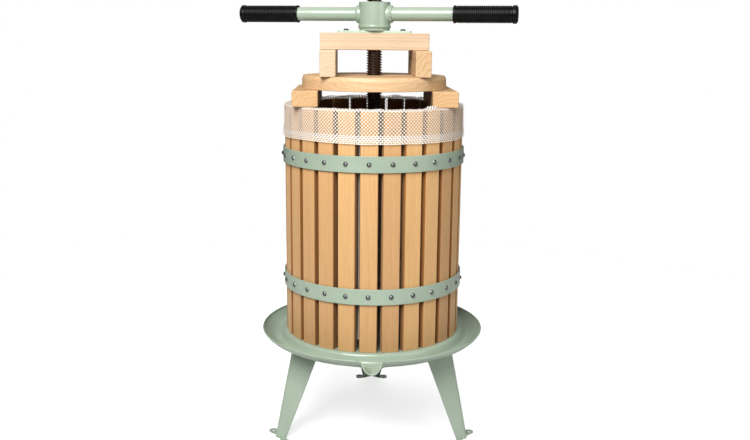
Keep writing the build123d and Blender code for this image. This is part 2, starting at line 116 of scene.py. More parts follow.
def stretch(tree, vector, scale):
    """Vector multiplied by a fixed scale on each axis."""
    made = add_node(tree, "VectorMath", {0: vector}, {1: scale}, operation="MULTIPLY")
    return made.outputs["Vector"]


def shift(tree, vector, offset):
    """Sum of two vectors."""
    made = add_node(tree, "VectorMath", {0: vector, 1: offset}, operation="ADD")
    return made.outputs["Vector"]


def grain_noise(tree, vector, scale, detail, roughness=0.55):
    """Noise value between 0 and 1 on a stretched vector."""
    values = {"Scale": 1.0, "Detail": detail, "Roughness": roughness}
    return add_node(tree, "TexNoise", {"Vector": stretch(tree, vector, scale)}, values).outputs["Fac"]


def ramp(tree, value, *stops):
    """Colour ramp on a value; each stop is a place and a colour or a grey."""
    made = add_node(tree, "ValToRGB", {"Fac": value})
    band = made.color_ramp
    while len(band.elements) < len(stops):
        band.elements.new(0.5)
    for element, (place, colour) in zip(band.elements, stops):
        element.position = place
        element.color = (colour, colour, colour, 1) if isinstance(colour, (int, float)) else (*colour, 1)
    return made.outputs["Color"]


def spread(tree, value, low, high, start=0.0, end=1.0):
    """Value carried over from the range between start and end to the one between low and high."""
    limits = {"From Min": start, "From Max": end, "To Min": low, "To Max": high}
    return add_node(tree, "MapRange", {"Value": value}, limits).outputs["Result"]


def blend_colours(tree, factor, first, second, mode="MIX"):
    """Mix of two colours; each may be a socket or a plain colour."""
    made = tree.nodes.new("ShaderNodeMix")
    made.data_type = "RGBA"
    made.blend_type = mode
    for name, term in (("Factor_Float", factor), ("A_Color", first), ("B_Color", second)):
        place = next(s for s in made.inputs if s.identifier == name)
        if isinstance(term, (int, float)):
            place.default_value = term
        elif isinstance(term, tuple):
            place.default_value = (*term, 1)
        else:
            tree.links.new(term, place)
    return next(s for s in made.outputs if s.identifier == "Result_Color")


def shaded(tree, colour, red, green, blue):
    """Colour multiplied by a factor on each channel."""
    factors = add_node(tree, "CombineColor", {"Red": red, "Green": green, "Blue": blue})
    return blend_colours(tree, 1.0, colour, factors.outputs[0], "MULTIPLY")


def relief(tree, shader, height, depth, strength):
    """Bump of a real depth in metres on a shader."""
    bump = add_node(tree, "Bump", {"Height": height}, {"Distance": depth, "Strength": strength})
    tree.links.new(bump.outputs["Normal"], shader.inputs["Normal"])


def new_finish(name):
    """Empty material with its node tree, its shader and the object's own coordinates."""
    made = bpy.data.materials.new(name)
    made.use_nodes = True
    tree = made.node_tree
    place = tree.nodes.new("ShaderNodeTexCoord")
    return made, tree, tree.nodes["Principled BSDF"], place


# Finishes: colours from pale to dark or low to high, shares of a tone, and real depths
SAGE = ((0.265, 0.335, 0.252), (0.312, 0.382, 0.297))
# Painted light: the thrust plate's enamel lightened for the reflection seen on its top
PLATE_PAINTED_LIGHT = 1.45
ENAMEL_PEEL = 0.06 * MM
RING_SHARE = 0.42
FIBRE_SHARE = 0.42
CLOUD_SHARE = 0.32
PORE_SHARE = 0.22
RING_WANDER = 2.4
WOOD_RELIEF = 0.12 * MM
WOOD_SPECULAR = 0.35
SLAT_TONES = ((0.63, 0.375, 0.163), (0.46, 0.240, 0.088))
SLAT_RING = 3.6 * MM
SLAT_CONTRAST = 0.45
# Painted shade on the slats: its colour, and the bands of the slats' side edges and inner faces that it
# covers
SLAT_PAINTED_SHADE = (0.50, 0.35, 0.21)
SLAT_SHADE_EDGE = (12.1 * MM, 13.1 * MM)
SLAT_SHADE_INSIDE = (137.5 * MM, 134.0 * MM)
# Painted shade: share of the slats' colour from their foot to their top, darker low down as the light falls
# off
SLAT_PAINTED_FALLOFF = (0.84, 1.03)
BOARD_RING = 5.6 * MM
BROAD_RING = 8.5 * MM
HONEY_BOARD = ((0.60, 0.393, 0.203), (0.45, 0.256, 0.109))
TAN_BOARD = ((0.66, 0.452, 0.260), (0.50, 0.298, 0.140))
ROSY_BOARD = ((0.60, 0.410, 0.232), (0.45, 0.275, 0.133))
BLOND_BOARD = ((0.61, 0.478, 0.340), (0.48, 0.333, 0.200))
BRONZE = ((0.42, 0.29, 0.11), (0.55, 0.40, 0.17))
OILED_STEEL = (
    (0.3, (0.045, 0.032, 0.025)),
    (0.62, (0.085, 0.055, 0.040)),
    (0.8, (0.15, 0.095, 0.066)),
)
NET_PITCH = 5.3 * MM
NET_RELIEF = 0.3 * MM
THREAD_BLUR = 0.06
# Painted shade on the net inside the basket: its colour low down, and the height below the slats' top over
# which it fades out
INSIDE_PAINTED_SHADE = (0.11, 0.066, 0.034)
SHADE_FADE = 14 * MM
SEAM_CREAM = ((0.76, 0.69, 0.58), (0.84, 0.77, 0.66))
SEAM_RIB = 1.6 * MM


def sprayed_paint(name, light=1.0):
    """Pale sage enamel with a faint orange peel; light scales its colour, above 1 as painted light."""
    made, tree, shader, place = new_finish(name)
    spot = place.outputs["Object"]
    cloud = grain_noise(tree, spot, (14, 14, 14), 3)
    speck = grain_noise(tree, spot, (240, 240, 240), 2)
    tone = calc(tree, "ADD", calc(tree, "MULTIPLY", cloud, 0.7), calc(tree, "MULTIPLY", speck, 0.3))
    low, high = ([light * share for share in sage] for sage in SAGE)
    colour = ramp(tree, tone, (0.3, low), (0.7, high))
    tree.links.new(colour, shader.inputs["Base Color"])
    tree.links.new(spread(tree, cloud, 0.26, 0.40), shader.inputs["Roughness"])
    peel = grain_noise(tree, spot, (700, 700, 700), 2)
    relief(tree, shader, peel, ENAMEL_PEEL, 0.5)
    shader.inputs["Coat Weight"].default_value = 0.35
    shader.inputs["Coat Roughness"].default_value = 0.12
    return made


def planed_wood(tree, shader, board, pale, dark, ring_width, contrast):
    """Ring-porous wood on a board's own coordinates: x and y across it, z along the grain."""
    wander = add_node(
        tree, "TexNoise", {"Vector": stretch(tree, board, (9, 9, 1.3))}, {"Scale": 1.0, "Detail": 2.0}
    )
    drift = stretch(tree, wander.outputs["Color"], (0.030, 0.030, 0.0))
    bent = shift(tree, board, drift)
    across = stretch(tree, bent, (1, 1, 0))
    distance = add_node(tree, "VectorMath", {0: across}, operation="LENGTH").outputs["Value"]
    uneven = grain_noise(tree, across, (75, 75, 1), 2)
    growth = calc(tree, "ADD", distance, calc(tree, "MULTIPLY", uneven, RING_WANDER * ring_width))
    ring = calc(tree, "FRACT", calc(tree, "DIVIDE", growth, ring_width))
    season = ramp(tree, ring, (0.0, 0.15), (0.55, 0.35), (0.86, 0.9), (0.95, 0.75), (1.0, 0.15))
    fibre = grain_noise(tree, bent, (520, 520, 7), 4, 0.62)
    pores = ramp(tree, grain_noise(tree, bent, (1300, 1300, 34), 2), (0.57, 0.0), (0.70, 1.0))
    cloud = grain_noise(tree, board, (22, 22, 2.2), 3)
    tone = calc(tree, "MULTIPLY", season, RING_SHARE * contrast)
    tone = calc(tree, "ADD", tone, calc(tree, "MULTIPLY", fibre, FIBRE_SHARE))
    tone = calc(tree, "ADD", tone, calc(tree, "MULTIPLY", cloud, CLOUD_SHARE))
    colour = blend_colours(tree, spread(tree, tone, -0.35, 1.15), pale, dark)
    colour = blend_colours(tree, calc(tree, "MULTIPLY", pores, PORE_SHARE), colour, dark, "MULTIPLY")
    roughness = calc(tree, "ADD", calc(tree, "MULTIPLY", fibre, 0.18), 0.42)
    tree.links.new(roughness, shader.inputs["Roughness"])
    height = calc(tree, "SUBTRACT", fibre, calc(tree, "MULTIPLY", pores, 0.6))
    relief(tree, shader, height, WOOD_RELIEF, 0.55)
    return colour


def slat_wood(count, phase):
    """Honey-coloured slat wood, each slat from another board; painted shade on its edges, inside and low
    down.
    """
    made, tree, shader, place = new_finish("slat_wood")
    axes = add_node(tree, "SeparateXYZ", {"Vector": place.outputs["Object"]})
    x, y, z = axes.outputs
    step = 2 * math.pi / count
    bearing = calc(tree, "SUBTRACT", calc(tree, "ARCTAN2", y, x), phase)
    turns = calc(tree, "FLOOR", calc(tree, "ADD", calc(tree, "DIVIDE", bearing, step), 0.5))
    number = calc(tree, "FLOORED_MODULO", turns, float(count))
    aside = calc(tree, "SUBTRACT", bearing, calc(tree, "MULTIPLY", turns, step))
    flat = add_node(tree, "CombineXYZ", {"X": x, "Y": y})
    reach = add_node(tree, "VectorMath", {0: flat.outputs[0]}, operation="LENGTH").outputs["Value"]
    width = calc(tree, "MULTIPLY", reach, calc(tree, "SINE", aside))
    depth = calc(tree, "MULTIPLY", reach, calc(tree, "COSINE", aside))
    board = add_node(tree, "CombineXYZ", {"X": width, "Y": depth, "Z": z})
    lot = add_node(tree, "TexWhiteNoise", {"W": number}, noise_dimensions="1D")
    moved = add_node(
        tree, "VectorMath", {0: lot.outputs["Color"]}, {1: (0.10, 0.05, 9.0), 2: (-0.05, -0.21, 0.0)},
        operation="MULTIPLY_ADD",
    )
    grain = shift(tree, board.outputs[0], moved.outputs["Vector"])
    colour = planed_wood(tree, shader, grain, *SLAT_TONES, SLAT_RING, SLAT_CONTRAST)
    tint = spread(tree, lot.outputs["Value"], 0.86, 1.08)
    colour = shaded(tree, colour, tint, calc(tree, "POWER", tint, 1.25), tint)
    # Painted shade in the gaps between the slats and on their inner faces, where the light doesn't reach
    edge = spread(tree, calc(tree, "ABSOLUTE", width), 0.0, 1.0, *SLAT_SHADE_EDGE)
    inside = spread(tree, depth, 0.0, 1.0, *SLAT_SHADE_INSIDE)
    painted_shade = blend_colours(tree, 1.0, colour, SLAT_PAINTED_SHADE, "MULTIPLY")
    colour = blend_colours(tree, calc(tree, "MAXIMUM", edge, inside), colour, painted_shade)
    # Painted shade: the slats darken towards their foot, as the light falls off downwards
    painted_falloff = spread(tree, z, *SLAT_PAINTED_FALLOFF, SEAT_Z, SLAT_TOP)
    colour = shaded(tree, colour, painted_falloff, painted_falloff, painted_falloff)
    tree.links.new(colour, shader.inputs["Base Color"])
    shader.inputs["Specular IOR Level"].default_value = WOOD_SPECULAR
    shader.inputs["Sheen Weight"].default_value = 0.28
    shader.inputs["Sheen Roughness"].default_value = 0.5
    shader.inputs["Sheen Tint"].default_value = (1.0, 0.72, 0.42, 1)
    return made


def board_wood(name, along, pith, pale, dark, contrast, ring_width=BOARD_RING):
    """Planed board; along is its long axis, and pith the tree's middle: across, height and seed."""
    made, tree, shader, place = new_finish(name)
    across, height, seed = pith
    if along == "X":
        turn, start = (0, -math.pi / 2, 0), (height, -across, seed)
    else:
        turn, start = (math.pi / 2, 0, 0), (-across, height, seed)
    mapping = add_node(
        tree, "Mapping", {"Vector": place.outputs["Object"]}, {"Rotation": turn, "Location": start},
        vector_type="POINT",
    )
    colour = planed_wood(tree, shader, mapping.outputs["Vector"], pale, dark, ring_width, contrast)
    tree.links.new(colour, shader.inputs["Base Color"])
    shader.inputs["Specular IOR Level"].default_value = WOOD_SPECULAR
    return made


def oiled_thread():
    """Blackened steel of the screw, shiny with oil on the crests."""
    made, tree, shader, place = new_finish("blackened_screw")
    spot = place.outputs["Object"]
    smear = grain_noise(tree, spot, (60, 60, 18), 4)
    colour = ramp(tree, smear, *OILED_STEEL)
    tree.links.new(colour, shader.inputs["Base Color"])
    tree.links.new(spread(tree, smear, 0.22, 0.46), shader.inputs["Roughness"])
    relief(tree, shader, grain_noise(tree, spot, (900, 900, 900), 2), 0.04 * MM, 0.5)
    shader.inputs["Metallic"].default_value = 0.85
    return made


def plated_steel(name, low, high, roughness):
    """Zinc-plated or blackened fastener steel with turning marks."""
    made, tree, shader, place = new_finish(name)
    spot = place.outputs["Object"]
    cloud = grain_noise(tree, spot, (160, 160, 160), 3)
    tree.links.new(ramp(tree, cloud, (0.3, low), (0.7, high)), shader.inputs["Base Color"])
    tree.links.new(spread(tree, cloud, roughness - 0.07, roughness + 0.10), shader.inputs["Roughness"])
    relief(tree, shader, grain_noise(tree, spot, (1500, 1500, 1500), 2), 0.03 * MM, 0.4)
    shader.inputs["Metallic"].default_value = 1.0
    return made


def grip_vinyl():
    """Soft black vinyl with a fine moulded grain."""
    made, tree, shader, place = new_finish("grip_vinyl")
    spot = place.outputs["Object"]
    cloud = grain_noise(tree, spot, (40, 40, 40), 3)
    tree.links.new(ramp(tree, cloud, (0.3, 0.002), (0.7, 0.006)), shader.inputs["Base Color"])
    tree.links.new(spread(tree, cloud, 0.28, 0.38), shader.inputs["Roughness"])
    relief(tree, shader, grain_noise(tree, spot, (1100, 1100, 1100), 3), 0.02 * MM, 0.3)
    shader.inputs["Specular IOR Level"].default_value = 0.13
    return made


def net_cloth(name, opening, low, high, inside_shade=None):
    """Net on the cloth's own map in metres, with staggered holes; a painted shade darkens it low down and
    fades out at the rim.
    """
    made, tree, shader, place = new_finish(name)
    axes = add_node(tree, "SeparateXYZ", {"Vector": place.outputs["UV"]})
    u, v = axes.outputs["X"], axes.outputs["Y"]
    whole_turn = 2 * math.pi / NET_PITCH
    weave = calc(
        tree, "MULTIPLY",
        calc(tree, "COSINE", calc(tree, "MULTIPLY", u, whole_turn)),
        calc(tree, "COSINE", calc(tree, "MULTIPLY", v, whole_turn)),
    )
    thread = spread(tree, weave, 1.0, 0.0, opening - THREAD_BLUR, opening + THREAD_BLUR)
    tree.links.new(thread, shader.inputs["Alpha"])
    cloud = grain_noise(tree, place.outputs["Object"], (30, 30, 30), 3)
    colour = ramp(tree, cloud, (0.3, low), (0.7, high))
    # Painted shade: the net inside is darkened below the rim, where the basket is in shade
    if inside_shade:
        height = add_node(tree, "SeparateXYZ", {"Vector": place.outputs["Object"]}).outputs["Z"]
        out_of_shade = spread(tree, height, 0.0, 1.0, SLAT_TOP - SHADE_FADE, SLAT_TOP)
        colour = blend_colours(tree, out_of_shade, inside_shade, colour)
    tree.links.new(colour, shader.inputs["Base Color"])
    tree.links.new(spread(tree, cloud, 0.62, 0.8), shader.inputs["Roughness"])
    relief(tree, shader, calc(tree, "MULTIPLY", weave, -1.0), NET_RELIEF, 0.4)
    shader.inputs["Sheen Weight"].default_value = 0.2
    return made


def seam_thread():
    """Cream thread of the side seam, with its fine ribs."""
    made, tree, shader, place = new_finish("stitched_tape")
    along = add_node(tree, "SeparateXYZ", {"Vector": place.outputs["UV"]}).outputs["X"]
    ribs = calc(tree, "SINE", calc(tree, "MULTIPLY", along, 2 * math.pi / SEAM_RIB))
    cloud = grain_noise(tree, place.outputs["Object"], (60, 60, 60), 3)
    low, high = SEAM_CREAM
    tree.links.new(ramp(tree, cloud, (0.3, low), (0.7, high)), shader.inputs["Base Color"])
    tree.links.new(spread(tree, cloud, 0.6, 0.8), shader.inputs["Roughness"])
    relief(tree, shader, ribs, NET_RELIEF, 0.7)
    return made


enamel = sprayed_paint("sage_enamel")
# Lighter copy of the enamel: painted light on the thrust plate
plate_painted_light_enamel = sprayed_paint("plate_painted_light_enamel", PLATE_PAINTED_LIGHT)
slats = slat_wood(SLAT_COUNT, SLAT_PHASE)
thread_steel = oiled_thread()
zinc = plated_steel("zinc_plate", 0.12, 0.21, 0.30)
black_steel = plated_steel("black_screw", 0.05, 0.09, 0.36)
brass = plated_steel("bush_bronze", *BRONZE, 0.30)
vinyl = grip_vinyl()
net = net_cloth("bag_net", -0.27, (0.80, 0.71, 0.59), (0.86, 0.77, 0.65))
hem_net = net_cloth("hem_net", -0.10, (0.76, 0.71, 0.67), (0.82, 0.77, 0.73))
fold_net = net_cloth("fold_net", 0.10, (0.74, 0.70, 0.65), (0.80, 0.76, 0.71))
# Net inside the basket: darker colours and painted shade, standing in for the shade inside the basket
inner_net_painted_shade = net_cloth("inner_net_painted_shade", -0.58, (0.42, 0.36, 0.28), (0.48, 0.42, 0.33), INSIDE_PAINTED_SHADE)
seam_cream = seam_thread()
finish_of_piece = {
    "lower_block_left": board_wood("lower_left_board", "Y", (-0.064, 0.479, 0.30), *HONEY_BOARD, 1.1),
    "lower_block_right": board_wood("lower_right_board", "Y", (0.135, 0.451, 0.10), *HONEY_BOARD, 1.0),
    "upper_block_left": board_wood("upper_left_board", "Y", (-0.060, 0.470, 0.20), *BLOND_BOARD, 0.9),
    "upper_block_right": board_wood(
        "upper_right_board", "Y", (0.112, 0.545, 0.40), *ROSY_BOARD, 1.3, BROAD_RING
    ),
    "press_disc_front": board_wood("disc_front_board", "X", (-0.035, 0.470, 0.10), *TAN_BOARD, 1.0),
    "press_disc_rear": board_wood("disc_rear_board", "X", (0.060, 0.470, 0.70), *TAN_BOARD, 1.0),
    "cross_beam": board_wood("beam_board", "X", (0.030, 0.560, 0.25), *BLOND_BOARD, 1.0),
    "plate_screws": black_steel,
    "thrust_plate": plate_painted_light_enamel,
}
finish_of_slot = {
    "green_paint": enamel,
    "dark_steel": thread_steel,
    "zinc_steel": zinc,
    "bush_brass": brass,
    "slat_wood": slats,
    "grip_rubber": vinyl,
}
for part in frame["record"]["subparts"]:
    name = part["node"]
    coat = finish_of_piece.get(name) or finish_of_slot.get(part["material_slot"])
    if coat:
        nodes[name].data.materials.clear()
        nodes[name].data.materials.append(coat)


# Mesh helpers
BEAD_ROUNDNESS = 4
CORNER_SHARE = 0.45


def finished(name, mesh, coat, body):
    """Smooth object at the origin with its finish, riding on a body."""
    made = bpy.data.objects.new(name, mesh)
    scene.collection.objects.link(made)
    mesh.materials.clear()
    mesh.materials.append(coat)
    for face in mesh.polygons:
        face.use_smooth = True
    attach(made, body)
    return made


def to_mesh(name, shape):
    """Mesh from a bmesh, which is freed."""
    mesh = bpy.data.meshes.new(name)
    shape.to_mesh(mesh)
    shape.free()
    return mesh


def chain(shape, points):
    """Vertices and edges along points."""
    knots = [shape.verts.new(point) for point in points]
    edges = [shape.edges.new(pair) for pair in zip(knots, knots[1:])]
    return knots, edges


def spin_full(shape, profile, steps, axis=(0, 0, 1), centre=(0, 0, 0)):
    """Spin a profile a full turn about an axis, merge the seam and turn the faces one way."""
    bmesh.ops.spin(
        shape, geom=profile, cent=centre, axis=axis, angle=2 * math.pi, steps=steps, use_merge=True
    )
    bmesh.ops.remove_doubles(shape, verts=shape.verts, dist=SAME_POINT)
    bmesh.ops.recalc_face_normals(shape, faces=shape.faces)


def turned(points, steps, axis=(0, 0, 1), centre=(0, 0, 0)):
    """Bmesh turned from a line of points about an axis."""
    shape = bmesh.new()
    knots, edges = chain(shape, points)
    spin_full(shape, knots + edges, steps, axis, centre)
    return shape


def bead(name, points, radius, swell=0.0, every=2, cyclic=True):
    """Mesh of a round bead along points; it swells by a share at intervals."""
    curve = bpy.data.curves.new(name, "CURVE")
    curve.dimensions = "3D"
    curve.bevel_depth = radius
    curve.bevel_resolution = BEAD_ROUNDNESS
    spline = curve.splines.new("POLY")
    spline.points.add(len(points) - 1)
    spline.use_cyclic_u = cyclic
    for index, (knot, point) in enumerate(zip(spline.points, points)):
        knot.co = (*point, 1)
        knot.radius = 1 + swell * math.cos(2 * math.pi * index / every)
    holder = bpy.data.objects.new(name, curve)
    mesh = bpy.data.meshes.new_from_object(holder)
    bpy.data.objects.remove(holder)
    bpy.data.curves.remove(curve)
    return mesh


def rounded(points, radius, steps=4):
    """Profile with each inner corner rounded by a short arc of points."""
    out = [Vector(points[0])]
    for before, corner, after in zip(points, points[1:], points[2:]):
        before, corner, after = Vector(before), Vector(corner), Vector(after)
        room = CORNER_SHARE * min((before - corner).length, (after - corner).length)
        reach = min(radius, room)
        start = corner + (before - corner).normalized() * reach
        end = corner + (after - corner).normalized() * reach
        for step in range(steps + 1):
            share = step / steps
            out.append((1 - share) ** 2 * start + 2 * share * (1 - share) * corner + share**2 * end)
    out.append(Vector(points[-1]))
    return out


# Pressed pan with its spout drawn out of the wall
SPINDLE_HOLE = 13.7 * MM
SEAT_EDGE = 146 * MM
GUTTER_EDGE = 149.5 * MM
GUTTER_Z = SEAT_Z - 14 * MM
WALL_FOOT = 159.5 * MM
WALL_BULGE = ((168.5 * MM, 5.0 * MM), (175 * MM, 10.6 * MM))
RIM_RADIUS = 178 * MM
RIM_Z = SEAT_Z + 1.2 * MM
RIM_ROLL = 1.3 * MM
ROLL_SINK = 0.6 * MM
PAN_SHEET = 1.5 * MM
PAN_BEND = 4 * MM
PAN_STEPS = 720
STAND_TURN = math.radians(-1.2)
SPOUT_ROOT = WALL_FOOT - 3 * MM
SPOUT_RUN_OUT = 6 * MM
# Lip of the spout in millimetres: length along the rim, then sideways, forwards and above the seat
SPOUT_EDGE = (
    (0, 0, -191.0, -14.3),
    (4, 5.0, -191.0, -12.9),
    (8, 8.9, -190.9, -9.6),
    (12, 11.3, -190.5, -5.7),
    (15, 12.6, -189.6, -2.5),
    (18, 13.9, -187.2, 0.1),
    (22, 16.6, -182.2, 1.2),
    (27, 22.6, -177.6, 1.2),
    (34, None, None, None),
)


def rim_point(bearing):
    """Point on the plain round rim; bearing runs from the front, towards the right."""
    return Vector((RIM_RADIUS * math.sin(bearing), -RIM_RADIUS * math.cos(bearing), RIM_Z))


def spout_edge_points():
    """Lip of the spout as pairs of rim length and place, in metres, ending on the round rim."""
    out = []
    for length, x, y, z in SPOUT_EDGE:
        if x is None:
            place = rim_point(length * MM / RIM_RADIUS)
        else:
            place = Vector((x * MM, y * MM, SEAT_Z + z * MM))
        out.append((length * MM, place))
    return out


def spout_pull(bearing):
    """How far the rim is drawn away from its round at a bearing, smoothed between the lip's points."""
    length = abs(bearing) * RIM_RADIUS
    lip = spout_edge_points()
    if length >= lip[-1][0]:
        return Vector((0, 0, 0))
    mirrored = [(-at, Vector((-p.x, p.y, p.z))) for at, p in lip[2:0:-1]]
    beyond = lip[-1][0] + SPOUT_RUN_OUT
    line = mirrored + lip + [(beyond, rim_point(beyond / RIM_RADIUS))]
    for (l0, p0), (l1, p1), (l2, p2), (l3, p3) in zip(line, line[1:], line[2:], line[3:]):
        if l1 <= length <= l2:
            t = (length - l1) / (l2 - l1)
            slope1 = (p2 - p0) / (l2 - l0) * (l2 - l1)
            slope2 = (p3 - p1) / (l3 - l1) * (l2 - l1)
            place = (
                (2 * t**3 - 3 * t**2 + 1) * p1 + (t**3 - 2 * t**2 + t) * slope1
                + (3 * t**2 - 2 * t**3) * p2 + (t**3 - t**2) * slope2
            )
            pull = place - rim_point(length / RIM_RADIUS)
            return Vector((pull.x if bearing > 0 else -pull.x, pull.y, pull.z))
    return Vector((0, 0, 0))


def pressed_pan():
    """Dish spun from its section, its wall drawn out at the front, with a rolled rim."""
    wall = [(reach, 0, GUTTER_Z + rise) for reach, rise in WALL_BULGE]
    section = [(SPINDLE_HOLE, 0, SEAT_Z), (SEAT_EDGE, 0, SEAT_Z)]
    section += [(GUTTER_EDGE, 0, GUTTER_Z), (WALL_FOOT, 0, GUTTER_Z), *wall, (RIM_RADIUS, 0, RIM_Z)]
    section = rounded(section, PAN_BEND)
    shape = turned(section, PAN_STEPS)
    for knot in shape.verts:
        reach = math.hypot(knot.co.x, knot.co.y)
        share = (reach - SPOUT_ROOT) / (RIM_RADIUS - SPOUT_ROOT)
        bearing = math.atan2(knot.co.x, -knot.co.y)
        if share > 0:
            knot.co += spout_pull(bearing) * share
    stand_turn = Matrix.Rotation(STAND_TURN, 4, "Z")
    bmesh.ops.transform(shape, matrix=stand_turn, verts=shape.verts)
    shape.faces.ensure_lookup_table()
    seat_face = min(shape.faces, key=lambda face: face.calc_center_median().length_squared)
    if seat_face.normal.z < 0:
        bmesh.ops.reverse_faces(shape, faces=shape.faces)
    pan = finished("pressed_pan", to_mesh("pressed_pan", shape), enamel, "base")
    sheet = pan.modifiers.new("sheet", "SOLIDIFY")
    sheet.thickness = PAN_SHEET
    sheet.offset = -1
    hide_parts("catch_pan")
    edge = []
    for step in range(PAN_STEPS):
        bearing = 2 * math.pi * step / PAN_STEPS - math.pi
        edge.append(stand_turn @ (rim_point(bearing) + spout_pull(bearing) - Vector((0, 0, ROLL_SINK))))
    finished("pan_rim_roll", bead("pan_rim_roll", edge, RIM_ROLL), enamel, "base")


# Crosshead details
HANDLE_TURN = math.radians(-15.3)
HANDLE_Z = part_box("crosshead_hub")[0][2] + 22 * MM
HUB_RADIUS = 24.2 * MM
WELD_END = 27.8 * MM
# Weld passes: name, radius round the tube, share of the way from hub to end, and bead radius
WELD_PASSES = (
    ("root", 12.3 * MM, 0.10, 1.6 * MM),
    ("fill", 12.0 * MM, 0.50, 1.6 * MM),
    ("toe", 11.1 * MM, 0.92, 1.4 * MM),
)
WELD_POINTS = 96
WELD_STAGGER = 2.5
WELD_RIPPLE = 0.20
RIPPLE_POINTS = 8
# Section of the ring at the hub's foot in millimetres: reach and height
FOOT_RING = ((23.9, 1.0), (24.5, 1.0), (25.1, 1.5), (25.1, 5.0), (24.6, 5.6), (23.9, 5.6), (23.9, 1.0))
RING_STEPS = 96
GRIP_START = 123 * MM
GRIP_ENDS = {-1: 218.8 * MM, 1: 219.5 * MM}
GRIP_RIBS = 27
GRIP_BORE = 10.6 * MM
GRIP_ROOT = 12.25 * MM
GRIP_CREST = 12.95 * MM
GRIP_COLLAR = 13.6 * MM
GRIP_MOUTH = GRIP_COLLAR - 0.3 * MM
# One rib: share of the ribs' pitch, and radius
GRIP_RIB = ((0.0, GRIP_ROOT), (0.12, GRIP_CREST), (0.58, GRIP_CREST), (0.7, GRIP_ROOT))
GRIP_EASE = 0.7 * MM
GRIP_STEPS = 72
DIMPLE_DEPTH = 1.6 * MM
DIMPLE_REACH = 5 * MM


def along_handle(side, reach, aside, rise):
    """Point given along a handle, across it and above it."""
    out = Vector((math.cos(HANDLE_TURN), math.sin(HANDLE_TURN), 0)) * side
    across = Vector((-out.y, out.x, 0))
    return out * reach + across * aside + Vector((0, 0, HANDLE_Z + rise))


def weld_beads(name, side):
    """Rough weld round the root of a handle tube, laid in rippled passes from the hub to the tube."""
    for row, (place, foot, share, radius) in enumerate(WELD_PASSES):
        points = []
        for step in range(WELD_POINTS):
            angle = 2 * math.pi * (step + WELD_STAGGER * row) / WELD_POINTS
            aside, rise = foot * math.cos(angle), foot * math.sin(angle)
            start = math.sqrt(HUB_RADIUS**2 - aside**2)
            points.append(along_handle(side, start + (WELD_END - start) * share, aside, rise))
        piece = f"weld_{place}_{name}"
        laid = bead(piece, points, radius, WELD_RIPPLE, RIPPLE_POINTS)
        finished(piece, laid, enamel, "crosshead")


def hub_foot_ring():
    """Turned ring at the foot of the hub."""
    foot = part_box("crosshead_hub")[0][2]
    section = [(reach * MM, 0, foot + rise * MM) for reach, rise in FOOT_RING]
    ring = turned(section, RING_STEPS)
    finished("hub_foot_ring", to_mesh("hub_foot_ring", ring), enamel, "crosshead")


def ribbed_grip(name, side):
    """Vinyl sleeve with a collar at each end, rounded ribs between and a dimpled closed end."""
    tip = GRIP_ENDS[side]
    line = [
        (GRIP_START, GRIP_BORE),
        (GRIP_START, GRIP_MOUTH),
        (GRIP_START + 3.6 * MM, GRIP_MOUTH),
        (GRIP_START + 4.2 * MM, GRIP_ROOT),
    ]
    first, last = GRIP_START + 6 * MM, tip - 9 * MM
    pitch = (last - first) / GRIP_RIBS
    for rib in range(GRIP_RIBS):
        start = first + pitch * rib
        line += [(start + share * pitch, radius) for share, radius in GRIP_RIB]
    line += [
        (tip - 7.6 * MM, GRIP_ROOT),
        (tip - 7.2 * MM, GRIP_COLLAR),
        (tip - 2.0 * MM, GRIP_COLLAR),
        (tip, GRIP_COLLAR - 2.6 * MM),
        (tip, 2.4 * MM),
        (tip - DIMPLE_DEPTH, 1.9 * MM),
        (tip - DIMPLE_DEPTH, 0.02 * MM),
    ]
    section = [along_handle(side, reach, 0, rise) for reach, rise in line]
    section = rounded(section, GRIP_EASE, 3)
    axis = along_handle(side, 1, 0, 0) - along_handle(side, 0, 0, 0)
    shape = turned(section, GRIP_STEPS, axis, (0, 0, HANDLE_Z))
    end = along_handle(side, tip, 0, 0)
    ends = [edge for edge in shape.edges if edge.is_boundary]
    near_axis = [edge for edge in ends if (edge.verts[0].co - end).length < DIMPLE_REACH]
    bmesh.ops.contextual_create(shape, geom=near_axis)
    bmesh.ops.recalc_face_normals(shape, faces=shape.faces)
    grip = finished(f"ribbed_{name}", to_mesh(f"ribbed_{name}", shape), vinyl, "crosshead")
    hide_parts(name)


# Net bag: hung inside the slats and turned down over the rim
BAG_STEPS = 520
BAG_IN = 125.3 * MM
BAG_OUT = 140.9 * MM
BAG_FLOOR = SEAT_Z + 4.4 * MM
BAG_HOLE = 25 * MM
HEM_Z = SLAT_TOP - 47.5 * MM
HEM_FOLD = 6.2 * MM
HEM_TOP = 12.2 * MM
HEM_STAND_OFF = 0.45 * MM
HEM_DROP = 0.6 * MM
NET_THICKNESS = 0.7 * MM
WALL_START = BAG_FLOOR + 6 * MM
FOLD_START = SLAT_TOP - 4 * MM
FOLD_Z = SLAT_TOP + 0.8 * MM
FOLD_IN = BAG_IN + 0.5 * MM
FOLD_NET_Z = SLAT_TOP - 1.5 * MM
BACKING_TOP = SLAT_TOP - 2 * MM
CUFF_IN = 130 * MM
BLOCK_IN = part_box("lower_block_right")[0][0]
BLOCK_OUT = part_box("lower_block_right")[1][0]
BLOCK_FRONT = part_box("lower_block_right")[0][1]
BLOCK_TRAVEL = 10 * MM
BLOCK_GAP = 1 * MM
BLOCK_EASE = 8 * MM
BLOCK_END_EASE = 6 * MM

